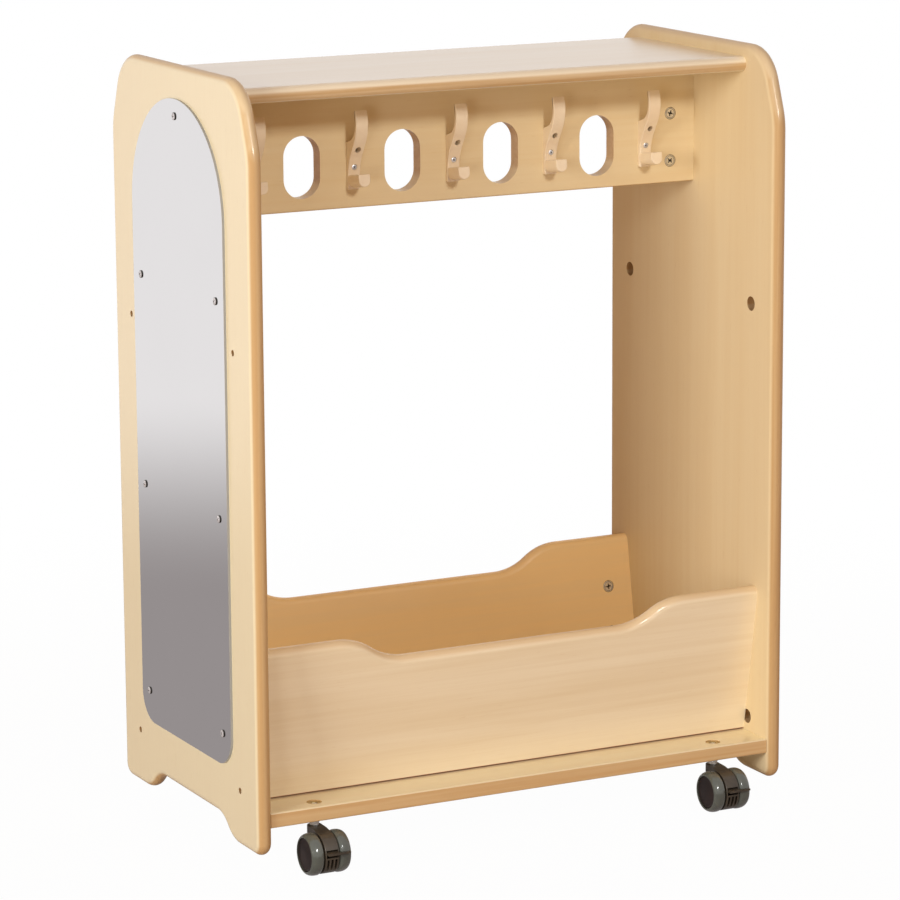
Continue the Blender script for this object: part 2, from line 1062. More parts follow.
@dataclass
class Studio:
    """Pale floor, soft lamps, white surroundings and the camera.

    Attributes:
        aim: Point that the camera looks at.
        turn: Camera's angle round the unit, in degrees, negative to the left.
        climb: Its angle above the horizon, in degrees.
        roll: Its roll in degrees.
        distance: Its distance in metres.
        lens: Focal length in millimetres.
        ambient: Strength of the surrounding light.
        bounce: Colour of the surrounding light.
        near_tone: Colour of the floor close to the unit in reflections.
        far_tone: Colour of the floor far from it in reflections.
        tone_span: Distances on the floor between which the one tone turns into the other.
        floor_colour: Colour of the floor where light falls on it.
        shadow: Share of the unit's shadow that the camera sees on the floor.
        floor_reach: Half the floor's width in metres.
        shadow_span: Distances between which the shadow fades.
        lamp_aim: Point that the lamps shine at.
        sensor: Width of the camera's sensor in millimetres.
        lamps: The lamps.
    """

    aim: Point = (-0.0002, 0.0, 0.4370)
    turn: float = -26.918
    climb: float = 11.831
    roll: float = -0.345
    distance: float = 4.9503
    lens: float = 163.94
    ambient: float = 0.22
    bounce: Colour = (1.0, 0.36, 0.11)
    near_tone: Colour = (0.366, 0.334, 0.334)
    far_tone: Colour = (0.95, 0.925, 0.93)
    tone_span: tuple[float, float] = (1.38, 2.95)
    floor_colour: Colour = (0.62, 0.52, 0.42)
    shadow: float = 0.02
    floor_reach: float = 30.0
    shadow_span: tuple[float, float] = (0.6, 1.8)
    lamp_aim: Point = (0.0, 0.0, 0.45)
    sensor: float = 36.0
    lamps: tuple[Lamp, ...] = (
        Lamp("key_box", (0.0, -4.2, 2.65), 0.5, 80.0, shows=True),
        Lamp("side_box", (-4.2, -1.6, 1.5), 1.3, 113.0),
        Lamp("low_box", (-3.4, -3.2, 0.35), 1.2, 32.0),
        Lamp("foot_box", (-4.4, -0.4, 0.25), 1.0, 16.0),
        Lamp("back_box", (3.2, 3.0, 1.9), 1.6, 108.0),
    )

    def build(self) -> None:
        """Makes the whole studio."""
        self.camera()
        self.floor()
        self.surroundings()
        for lamp in self.lamps:
            self.light(lamp)

    def camera(self) -> None:
        """Makes the camera."""
        turn, climb, roll = self.turn, self.climb, self.roll
        back = Vector((sine(turn) * cosine(climb), -cosine(turn) * cosine(climb), sine(climb)))
        right = (-back).cross(Vector((0, 0, 1))).normalized()
        above = right.cross(-back)
        side = right * cosine(roll) + above * sine(roll)
        up = above * cosine(roll) - right * sine(roll)
        data = bpy.data.cameras.new("camera")
        data.lens, data.sensor_width, data.clip_end = self.lens, self.sensor, 100.0
        camera = bpy.data.objects.new("camera", data)
        bpy.context.scene.collection.objects.link(camera)
        turned = Matrix((side, up, back)).transposed().to_4x4()
        camera.matrix_world = Matrix.Translation(Vector(self.aim) + back * self.distance) @ turned
        bpy.context.scene.camera = camera

    def floor(self) -> None:
        """Makes the floor, with the unit's soft shadow. In reflections it is dim nearby and pale far off."""
        mesh = bpy.data.meshes.new("floor")
        signs = ((-1, -1), (1, -1), (1, 1), (-1, 1))
        corners = [(x * self.floor_reach, y * self.floor_reach, 0) for x, y in signs]
        mesh.from_pydata(corners, [], [(0, 1, 2, 3)])
        floor = placed("floor", mesh)
        s = Shader("floor", Roughness=0.9)
        s.set(**{"Base Color": self.floor_colour})
        distance = s.node("VectorMath", {"operation": "LENGTH"}, {0: s.place()}, output="Value")
        camera, glossy, through = (
            s.node("LightPath", output=f"Is {kind} Ray") for kind in ("Camera", "Glossy", "Transmission")
        )
        mirrored = camera.math("MAXIMUM", glossy, through)
        tone = s.mix(s.step(distance, *self.tone_span), self.near_tone, self.far_tone)
        glow = s.node("Emission", None, {"Color": s.mix(mirrored, (1.0, 1.0, 1.0), tone), "Strength": 1.0})
        share = camera * (1 - self.shadow + s.step(distance, *self.shadow_span) * self.shadow) + mirrored
        lit = Value(s.tree, s.surface.outputs[0])
        mixed = s.node("MixShader", None, {0: share, 1: lit, 2: glow})
        s.tree.links.new(mixed.socket, s.tree.nodes["Material Output"].inputs["Surface"])
        mesh.materials.append(s.material)

    def surroundings(self) -> None:
        """Makes the white surroundings."""
        world = bpy.data.worlds.new("world")
        bpy.context.scene.world = world
        world.use_nodes = True
        tree = world.node_tree
        background = tree.nodes["Background"]
        path = tree.nodes.new("ShaderNodeLightPath")
        seen = Value(tree, path.outputs["Is Camera Ray"])
        for name in ("Is Glossy Ray", "Is Transmission Ray"):
            seen = seen.math("MAXIMUM", seen, Value(tree, path.outputs[name]))
        mix = tree.nodes.new("ShaderNodeMix")
        mix.data_type = "RGBA"
        feed(tree, mix.inputs[0], seen)
        feed(tree, mix.inputs[6], tuple(self.ambient * share for share in self.bounce))
        feed(tree, mix.inputs[7], (1.0, 1.0, 1.0))
        feed(tree, background.inputs["Color"], Value(tree, mix.outputs[2]))

    def light(self, lamp: Lamp) -> None:
        """Makes one soft box that shines at the unit.

        Args:
            lamp: The lamp.
        """
        data = bpy.data.lights.new(lamp.name, "AREA")
        data.shape, data.size = "SQUARE", lamp.size
        data.energy = lamp.power
        light = bpy.data.objects.new(lamp.name, data)
        bpy.context.scene.collection.objects.link(light)
        light.location = lamp.place
        light.rotation_mode = "QUATERNION"
        light.rotation_quaternion = (Vector(self.lamp_aim) - light.location).to_track_quat("-Z", "Y")
        light.visible_glossy = lamp.shows


# ---- The unit, in millimetres until a piece is finished


@dataclass(frozen=True)
class Joinery:
    """Places of the cam joints and dowels between the side panels and the boards.

    Attributes:
        inner_x: Distance of the panels' inner faces from the middle.
        half_t: Half a board's thickness.
        lean: Lean of the trough boards in degrees.
        trough_foot: Distance from the middle to a trough board's outer foot.
        base_z: Underside of the base board.
        shelf_z: Underside of the top shelf.
        rail_z: Underside of the hook rail.
        cam_reach: Distance from a board's end to its cam.
        cam_bore: Radius of a cam's bore.
        cam_deep: Depth of a cam's bore.
        bolt_bore: Radius of a bolt's bore in a board's end.
        bolt_seat: Radius of a bolt's bore in a side panel.
        bolt_deep: Depth of a bolt's bore in a side panel.
        dowel_bore: Radius of a dowel's bore.
        dowel_deep: Depth of a dowel's bore in a board's end.
        dowel_seat: Its depth in a side panel.
        over: Length by which a drill starts outside the wood.
    """

    inner_x: float = 332.0
    half_t: float = 9.0
    lean: float = 9.6
    trough_foot: float = 140.0
    base_z: float = 61.0
    shelf_z: float = 889.0
    rail_z: float = 743.0
    cam_reach: float = 33.0
    cam_bore: float = 7.55
    cam_deep: float = 12.55
    bolt_bore: float = 4.0
    bolt_seat: float = 3.55
    bolt_deep: float = 11.5
    dowel_bore: float = 4.05
    dowel_deep: float = 20.5
    dowel_seat: float = 10.5
    over: float = 1.0

    def trough(self, side: int, height: float) -> tuple[float, float]:
        """Point of a trough board's mid plane, at a height along the board.

        Args:
            side: -1 for the front board, 1 for the rear one.
            height: Height along the board.

        Returns:
            Its place in Y and Z.
        """
        return (
            side * (self.trough_foot + height * sine(self.lean) - self.half_t * cosine(self.lean)),
            self.base_z + 2 * self.half_t + height * cosine(self.lean) + self.half_t * sine(self.lean),
        )

    def cams(self) -> dict[str, list[tuple[float, float, float]]]:
        """Cam joints by board: place in Y and Z, and turn about X that brings the cam's face up.

        Returns:
            The joints of each board.
        """
        low, high = self.base_z + self.half_t, self.shelf_z + self.half_t
        return {
            "rail": [(0.0, self.rail_z + z, 90.0) for z in (27.0, 85.0)],
            "front": [(*self.trough(-1, v), self.lean - 90.0) for v in (64.0, 122.0)],
            "rear": [(*self.trough(1, v), 90.0 - self.lean) for v in (64.0, 122.0)],
            "shelf": [(y, high, 180.0) for y in (-88.0, 88.0)],
            "base": [(y, low, 180.0) for y in (-110.0, 110.0)],
        }

    def dowels(self) -> dict[str, list[tuple[float, float]]]:
        """Dowels by board: place in Y and Z.

        Returns:
            The dowels of each board.
        """
        low, high = self.base_z + self.half_t, self.shelf_z + self.half_t
        return {
            "rail": [(0.0, self.rail_z + 56.0)],
            "front": [self.trough(-1, 93.0)],
            "rear": [self.trough(1, 93.0)],
            "shelf": [(y, high) for y in (-40.0, 40.0)],
            "base": [(y, low) for y in (-60.0, 60.0)],
        }

    def seats(self, board: str) -> Solid:
        """Bores in both ends of a board for its cams, bolts and dowels.

        Args:
            board: Name of the board.

        Returns:
            The bores.
        """
        bores = Solid()
        for end in (-1, 1):
            for y, z, roll in self.cams()[board]:
                place = facing((end * self.inner_x, y, z), (-end, 0, 0))
                bores.rod(self.bolt_bore, -self.over, self.cam_reach, place)
                place = Matrix.Translation((end * (self.inner_x - self.cam_reach), y, z))
                place = place @ Matrix.Rotation(math.radians(roll), 4, "X")
                bores.rod(self.cam_bore, self.half_t - self.cam_deep, self.half_t + self.over, place)
            for y, z in self.dowels()[board]:
                place = facing((end * self.inner_x, y, z), (-end, 0, 0))
                bores.rod(self.dowel_bore, -self.over, self.dowel_deep, place)
        return bores


JOINERY = Joinery()


@dataclass
class SidePanels:
    """Two side panels, each one outline with a half round carried round it.

    Attributes:
        half_depth: Half a panel's depth.
        height: Its height.
        foot_gap: Height of its feet above the floor.
        arch_flat: Half width of the arch's flat top.
        arch_h: Height of the arch.
        arch_run: Width of the curve between the arch and a foot.
        foot_r: Corner radius of a foot.
        taper_h: Height of the tapered top part.
        taper_a: Angle of the taper.
        crown_r: Corner radius at the top.
        blend_r: Radius between the upright edge and the taper.
        edge_r: Radius of the half round.
        link_y: Distance of the linking holes from the middle.
        link_z: Heights of the linking holes.
        link_r: Radius of a linking hole.
        counter_r: Radius of its counterbore on the inner face.
        counter_d: Depth of the counterbore.
        screw_r: Radius of a mirror screw's bore.
        screw_d: Depth of a mirror screw's bore.
    """

    half_depth: float = 200.0
    height: float = 893.0
    foot_gap: float = 29.0
    arch_flat: float = 76.0
    arch_h: float = 25.0
    arch_run: float = 62.0
    foot_r: float = 16.0
    taper_h: float = 84.0
    taper_a: float = 20.0
    crown_r: float = 56.0
    blend_r: float = 80.0
    edge_r: float = 9.0
    link_y: float = 148.0
    link_z: tuple[float, float] = (97.0, 611.0)
    link_r: float = 3.75
    counter_r: float = 8.75
    counter_d: float = 10.0
    screw_r: float = 1.9
    screw_d: float = 13.5

    def path(self) -> list[Step]:
        """The panel's outline from the rear end of the arch.

        Returns:
            The steps of the outline.
        """
        taper = math.radians(self.taper_a)
        corner = self.crown_r * math.tan(math.pi / 4 - taper / 2)
        blend = self.blend_r * math.tan(taper / 2)
        flank = ogee(self.arch_run, self.arch_h, -1) + [
            (self.half_depth - self.foot_r - self.arch_flat - self.arch_run, 0),
            (self.foot_r, 90),
            (self.height - self.taper_h - self.foot_r - blend, 0),
            (self.blend_r, self.taper_a),
            (self.taper_h / math.cos(taper) - blend - corner, 0),
            (self.crown_r, 90 - self.taper_a),
        ]
        top = 2 * self.half_depth - 2 * self.taper_h * math.tan(taper) - 2 * corner
        return [(2 * self.arch_flat, 0), *flank, (top, 0), *reversed(flank)]

    def outline(self) -> bpy.types.Mesh:
        """The middle line of the rounded edge, flat, its depth along X and its height along Y.

        Returns:
            The line as a mesh of edges.
        """
        start = (-self.arch_flat, self.foot_gap + self.arch_h + self.edge_r)
        stops = walk(inset(self.path(), self.edge_r), start, 0.0)[:-1]
        count = len(stops)
        edges = [(i, (i + 1) % count) for i in range(count)]
        mesh = bpy.data.meshes.new("panel_outline")
        mesh.from_pydata([(x, y, 0.0) for x, y, _, _ in stops], edges, [])
        return mesh

    def tree(self) -> Grown:
        """The rule of a rounded board: a half round swept along the outline, and a face on each side.

        Returns:
            The tree.
        """
        g = Grown("rounded_board", {"Edge Radius": self.edge_r, "Edge Steps": 17})
        radius, steps = g.given("Edge Radius"), g.given("Edge Steps")
        line = g.node("MeshToCurve", None, {0: g.given("Geometry")})
        line = g.node("SetCurveNormal", {"mode": "Z_UP"}, {0: line})
        half_round = {
            "Resolution": steps,
            "Radius": radius,
            "Start Angle": -math.pi / 2,
            "Sweep Angle": math.pi,
        }
        section = g.node("CurveArc", {"mode": "RADIUS"}, half_round)
        band = g.node("CurveToMesh", None, {"Curve": line, "Profile Curve": section})
        sheet = g.node("FillCurve", {"mode": "NGONS"}, {0: line})
        top = g.moved(sheet, z=radius)
        bottom = g.node("FlipFaces", None, {0: g.moved(sheet, z=radius * -1.0)})
        whole = g.node("JoinGeometry", None, {0: [band, top, bottom]})
        return g.end(g.node("MergeByDistance", None, {0: whole, "Distance": 0.01}))

    def bores(self, side: int) -> Solid:
        """Bores of one panel: linking holes with their counterbores, bolts, dowels and mirror screws.

        Args:
            side: -1 for the left panel, 1 for the right one.

        Returns:
            The bores.
        """
        inner, over = side * JOINERY.inner_x, JOINERY.over
        through = 2 * JOINERY.half_t + over
        wide, narrow, step = self.counter_r, self.link_r, self.counter_d
        hole = [(0, -over), (wide, -over), (wide, step), (narrow, step), (narrow, through), (0, through)]
        bores = Solid()
        for y, z in self.links():
            bores.turned(hole, facing((inner, y, z), (side, 0, 0)))
        for board in JOINERY.cams().values():
            for y, z, _ in board:
                bores.rod(JOINERY.bolt_seat, -over, JOINERY.bolt_deep, facing((inner, y, z), (side, 0, 0)))
        for board in JOINERY.dowels().values():
            for y, z in board:
                bores.rod(JOINERY.dowel_bore, -over, JOINERY.dowel_seat, facing((inner, y, z), (side, 0, 0)))
        if side < 0:
            for y, z in MIRROR_POINTS:
                place = facing((inner - 2 * JOINERY.half_t, y, z), (1, 0, 0))
                bores.rod(self.screw_r, -over, self.screw_d, place)
        return bores

    def links(self) -> list[tuple[float, float]]:
        """Places of the linking holes in Y and Z."""
        return [(y, z) for y in (-self.link_y, self.link_y) for z in self.link_z]

    def build(self) -> None:
        """Grows, bores and dresses both panels, and dresses the mirror."""
        tree = self.tree()
        links = tuple((y * MM, z * MM) for y, z in self.links())
        for side, name, shift in ((-1, "left", 1.7), (1, "right", 4.1)):
            wood = maple(
                f"{name}_panel_maple", Axis.UPRIGHT, ACROSS_FACE, shift, 0.45, (0.05, 1.0), bores=links
            ).material()
            panel = tree.grow(f"{name}_panel", self.outline(), wood, {"Edge Radius": self.edge_r})
            middle = side * (JOINERY.inner_x + JOINERY.half_t)
            panel.data.transform(Matrix(((0, 0, 1, middle), (1, 0, 0, 0), (0, 1, 0, 0), (0, 0, 0, 1))))
            combine(panel, self.bores(side), Joining.CUT)
            finish_piece(panel, wood, FRAME_BODY, f"{name}_side_panel")
        silver = MirrorSheet("mirror_sheet", (0.80, 0.80, 0.80), paint(176, 180, 180))
        dress(["mirror"], silver.material())


@dataclass
class TroughBoards:
    """Two leaning boards with a dipped and rounded upper edge.

    Attributes:
        end_h: Height at the ends, along the board.
        mid_h: Height in the middle.
        flat: Half length of the low middle.
        run: Length of the curve between the middle and an end.
        arc_steps: Steps of the half round.
        groove_h: Height of the shadow groove along the outer foot.
        groove_d: Its depth.
    """

    end_h: float = 187.0
    mid_h: float = 158.0
    flat: float = 141.0
    run: float = 90.0
    arc_steps: int = 16
    groove_h: float = 1.7
    groove_d: float = 3.0

    def path(self) -> list[Step]:
        """The upper edge, from the right end to the left one.

        Returns:
            The steps of the edge.
        """
        level = JOINERY.inner_x - self.flat - self.run
        half = [(level, 0.0), *ogee(self.run, self.end_h - self.mid_h, 1)]
        return [*half, (2 * self.flat, 0), *reversed(half)]

    def board(self, name: str) -> bpy.types.Object:
        """Lofts a board for the front, cut level at its foot.

        Args:
            name: Name of the piece.

        Returns:
            The board.
        """
        radius = JOINERY.half_t
        slope = math.tan(math.radians(JOINERY.lean))
        rings = []
        start = (JOINERY.inner_x, self.end_h - radius)
        for x, v, across, up in walk(inset(self.path(), radius), start, 180.0):
            ring = [(x, -2 * radius * slope, -2 * radius)]
            for angle in fan(-90.0, 90.0, self.arc_steps + 1):
                reach = radius * cosine(angle)
                ring.append((x + reach * across, v + reach * up, radius * sine(angle) - radius))
            groove = [(self.groove_h, 0.0), (self.groove_h, -self.groove_d), (0.0, -self.groove_d)]
            rings.append(ring + [(x, height, depth) for height, depth in groove])
        place = Matrix.Translation((0, -JOINERY.trough_foot, JOINERY.base_z + 2 * radius))
        place = place @ Matrix.Rotation(math.radians(90 + JOINERY.lean), 4, "X")
        return Solid().loft(rings, place).piece(name)

    def build(self) -> None:
        """Makes both boards."""
        foot = (JOINERY.base_z + 2 * JOINERY.half_t + self.groove_h) * MM
        rows = (
            (-1, "front", 9.4, paint(244, 230, 198), paint(214, 182, 132)),
            (1, "rear", 11.6, paint(236, 199, 138), paint(236, 199, 138)),
        )
        for side, name, shift, light, edge in rows:
            board = self.board(f"{name}_trough")
            if side > 0:
                board.data.transform(Matrix.Rotation(math.pi, 4, "Z"))
            combine(board, JOINERY.seats(name), Joining.CUT)
            face = (0.0, side * cosine(JOINERY.lean), -sine(JOINERY.lean))
            extras = {"light": light, "edge": edge, "crest": 0.35, "foot": foot}
            wood = maple(f"{name}_trough_maple", Axis.ACROSS, face, shift, 0.45, (0.5, 0.5), **extras)
            finish_piece(board, wood.material(), FRAME_BODY, f"{name}_trough_board")


@dataclass
class FlatBoards:
    """Shelf, rail and base board, with the dowels.

    Attributes:
        figure: Strength of their figure.
        shelf_gloss: Gloss of the shelf and the base board.
        rail_gloss: Gloss of the rail.
    """

    figure: float = 0.6
    shelf_gloss: float = 0.9
    rail_gloss: float = 0.05

    def build(self) -> None:
        """Dresses every board with its own run of grain."""
        shelf = {"light": paint(252, 245, 218), "dark": paint(247, 233, 196)}
        base = {"light": PALE_MAPLE, "dark": paint(234, 214, 168), "edge": paint(210, 172, 119)}
        rows = (
            ("top_shelf", "shelf_maple", LEVEL_FACE, 2.3, self.shelf_gloss, shelf),
            ("hook_rail", "rail_maple", DEPTH_FACE, 7.9, self.rail_gloss, {}),
            ("base_board", "base_maple", LEVEL_FACE, 5.2, self.shelf_gloss, base),
        )
        for node, name, face, shift, gloss, colours in rows:
            wood = maple(name, Axis.ACROSS, face, shift, self.figure, (gloss, gloss), **colours)
            dress([node], wood.material())
        dress(["dowels"], BEECH.material())


MIRROR_BASE = 118.0
MIRROR_HEIGHT = 766.0
MIRROR_TOP_SCREW = 864.0
MIRROR_SCREW_Y = 108.5
MIRROR_POINTS = [(0.0, MIRROR_TOP_SCREW)] + [
    (side * MIRROR_SCREW_Y, MIRROR_BASE + share * MIRROR_HEIGHT)
    for share in (0.05, 0.383, 0.714)
    for side in (-1, 1)
]
HOOK_PITCH = 131.0
HOOK_XS = tuple((i - 2) * HOOK_PITCH for i in range(5))
HOOK_Z = 765.5
HOOK_SCREW_Z = (26.2, 47.8)
HOOK_WEB = 3.4
MIRROR_FACE = -353.0


@dataclass
class Fasteners:
    """Screws of the mirror and the hooks, cams, bolts and inserts.

    Attributes:
        seed: Seed of the fasteners' turns.
        mirror_head: Head radius of a mirror screw.
        hook_head: Head radius of a hook screw.
        hook_shank: Length of a hook screw's shank.
    """

    seed: int = 7
    mirror_head: float = 4.5
    hook_head: float = 3.3
    hook_shank: float = 12.0

    def rows(self, name: str, rows: Sequence[tuple[Point, Point, Point]]) -> bpy.types.Mesh:
        """Loose points, each with the directions that its fastener's face and slot point in.

        Args:
            name: Name of the mesh.
            rows: Place, direction of the face and direction of the slot, a point each.

        Returns:
            The points.
        """
        mesh = bpy.data.meshes.new(name)
        mesh.from_pydata([row[0] for row in rows], [], [])
        for key, column in (("facing", 1), ("toward", 2)):
            field = mesh.attributes.new(key, "FLOAT_VECTOR", "POINT")
            field.data.foreach_set("vector", [v for row in rows for v in row[column]])
        return mesh

    def strewn(self, g: Grown, shape: Value, spin: bool) -> Value:
        """Puts a shape on every point, facing as the point says, with a seeded turn or along its slot.

        Args:
            g: The tree.
            shape: The shape.
            spin: Whether it gets a seeded turn.

        Returns:
            The instances.
        """
        vector = {"data_type": "FLOAT_VECTOR"}
        look = g.node("InputNamedAttribute", vector, {"Name": "facing"})
        way = g.node("FunctionNodeAlignRotationToVector", {"axis": "Z"}, {"Vector": look})
        if spin:
            limits = {2: 0.0, 3: math.tau, "Seed": g.given("Spin Seed")}
            turn = g.node("FunctionNodeRandomValue", {"data_type": "FLOAT"}, limits, output=1)
            about = g.node("FunctionNodeAxisAngleToRotation", None, {"Axis": LEVEL_FACE, "Angle": turn})
            way = g.node("FunctionNodeRotateRotation", {"rotation_space": "LOCAL"}, {0: way, 1: about})
        else:
            slot = g.node("InputNamedAttribute", vector, {"Name": "toward"})
            about = {"axis": "X", "pivot_axis": "Z"}
            way = g.node("FunctionNodeAlignRotationToVector", about, {"Rotation": way, "Vector": slot})
        points = g.given("Geometry")
        return g.node("InstanceOnPoints", None, {"Points": points, "Instance": shape, "Rotation": way})

    def screw_tree(self) -> Grown:
        """Pan head screws with a cross recess.

        Returns:
            The tree.
        """
        sizes = {
            "Head Radius": self.mirror_head,
            "Head Height": 2.2,
            "Shank Radius": 1.85,
            "Shank Length": 16.0,
            "Recess Width": 0.9,
            "Spin Seed": self.seed,
        }
        g = Grown("pan_screws", sizes)
        radius, height, length = g.given("Head Radius"), g.given("Head Height"), g.given("Shank Length")
        dome = radius * 2.2
        ball = g.node("MeshUVSphere", None, {"Segments": 64, "Rings": 64, "Radius": dome})
        ball = g.moved(ball, z=height - dome)
        head = g.boolean("INTERSECT", None, [g.moved(g.rod(radius, height), z=height * 0.5), ball])
        shank = g.moved(g.rod(g.given("Shank Radius"), length), z=length * -0.5 + height * 0.25)
        width, reach = g.given("Recess Width"), radius * 1.15
        bars = [
            g.moved(g.node("MeshCube", None, {"Size": g.vector(x, y, height)}), z=height * 0.95)
            for x, y in ((reach, width), (width, reach))
        ]
        whole = g.boolean("DIFFERENCE", g.boolean("UNION", None, [head, shank]), bars)
        whole = g.sunk(whole, height * 0.75, 0.9)
        return g.end(self.strewn(g, whole, spin=True))

    def cam_tree(self) -> Grown:
        """Cams: a grooved cap with a cross recess, on a body with a channel for the bolt.

        Returns:
            The tree.
        """
        sizes = {
            "Radius": 7.5,
            "Cap Top": 9.0,
            "Cap Depth": 3.8,
            "Body Depth": 8.7,
            "Channel Radius": 3.9,
            "Recess Width": 1.5,
            "Spin Seed": self.seed + 4,
        }
        g = Grown("cams", sizes)
        radius, top, cap, deep = (g.given(k) for k in ("Radius", "Cap Top", "Cap Depth", "Body Depth"))
        crest = radius - 0.75
        depth = cap + 1.0
        chamfer = {"Vertices": 48, "Radius Top": crest, "Radius Bottom": crest + depth, "Depth": depth}
        cone = g.moved(g.node("MeshCone", None, chamfer), z=top - depth)
        disc = g.boolean("INTERSECT", None, [g.moved(g.rod(radius, depth), z=top - cap * 0.5 + 0.5), cone])
        groove = g.boolean("DIFFERENCE", g.rod(radius * 0.80, 0.9), [g.rod(radius * 0.72, 2.0)])
        width, reach = g.given("Recess Width"), radius * 0.95
        slots = ((reach, width, 0.0), (width, reach, 0.0), (reach * 0.7, width * 0.6, math.pi / 4))
        bars = [
            g.moved(g.node("MeshCube", None, {"Size": g.vector(x, y, 3.6)}), z=top, turn=(0.0, 0.0, turn))
            for x, y, turn in slots
        ]
        arrow = g.moved(g.rod(radius * 0.13, 1.6, 3), x=radius * 0.60, z=top)
        lid = g.sunk(g.boolean("DIFFERENCE", disc, [g.moved(groove, z=top), *bars, arrow]), top, 0.8)
        body = g.moved(g.rod(radius, deep), z=top - cap - deep * 0.5)
        channel = g.rod(g.given("Channel Radius"), radius * 2.0)
        channel = g.moved(channel, x=radius * 0.55, turn=(0.0, math.pi / 2, 0.0))
        barrel = g.boolean("DIFFERENCE", body, [channel])
        both = g.node("JoinGeometry", None, {0: [self.strewn(g, lid, True), self.strewn(g, barrel, False)]})
        return g.end(both)

    def build(self) -> None:
        """Strews screws and cams, and dresses bolts and inserts."""
        screws, cams = self.screw_tree(), self.cam_tree()
        steel, zinc = SCREW_STEEL.material(), CAM_ZINC.material()
        rows = [((MIRROR_FACE, y, z), (-1.0, 0.0, 0.0), LEVEL_FACE) for y, z in MIRROR_POINTS]
        sizes = {"Head Radius": self.mirror_head}
        piece = screws.grow("mirror_screw_set", self.rows("mirror_rows", rows), steel, sizes)
        finish_piece(piece, steel, FRAME_BODY, "mirror_screws")
        reach = JOINERY.half_t + HOOK_WEB
        rows = [
            ((side * x, side * -reach, HOOK_Z + z), (0.0, -side, 0.0), LEVEL_FACE)
            for x in HOOK_XS
            for z in HOOK_SCREW_Z
            for side in (1.0, -1.0)
        ]
        sizes = {"Head Radius": self.hook_head, "Shank Length": self.hook_shank, "Spin Seed": self.seed + 2}
        piece = screws.grow("hook_screw_set", self.rows("hook_rows", rows), steel, sizes)
        finish_piece(piece, steel, FRAME_BODY, "hook_screws")
        cam_x = JOINERY.inner_x - JOINERY.cam_reach
        rows = [
            ((end * cam_x, y, z), (0.0, -sine(roll), cosine(roll)), (end, 0.0, 0.0))
            for board in JOINERY.cams().values()
            for y, z, roll in board
            for end in (-1.0, 1.0)
        ]
        piece = cams.grow("cam_set", self.rows("cam_rows", rows), zinc, {})
        finish_piece(piece, zinc, FRAME_BODY, "cam_locks")
        dress(["cam_bolts"], steel)
        dress(["caster_inserts"], INSERT_BRASS.material())


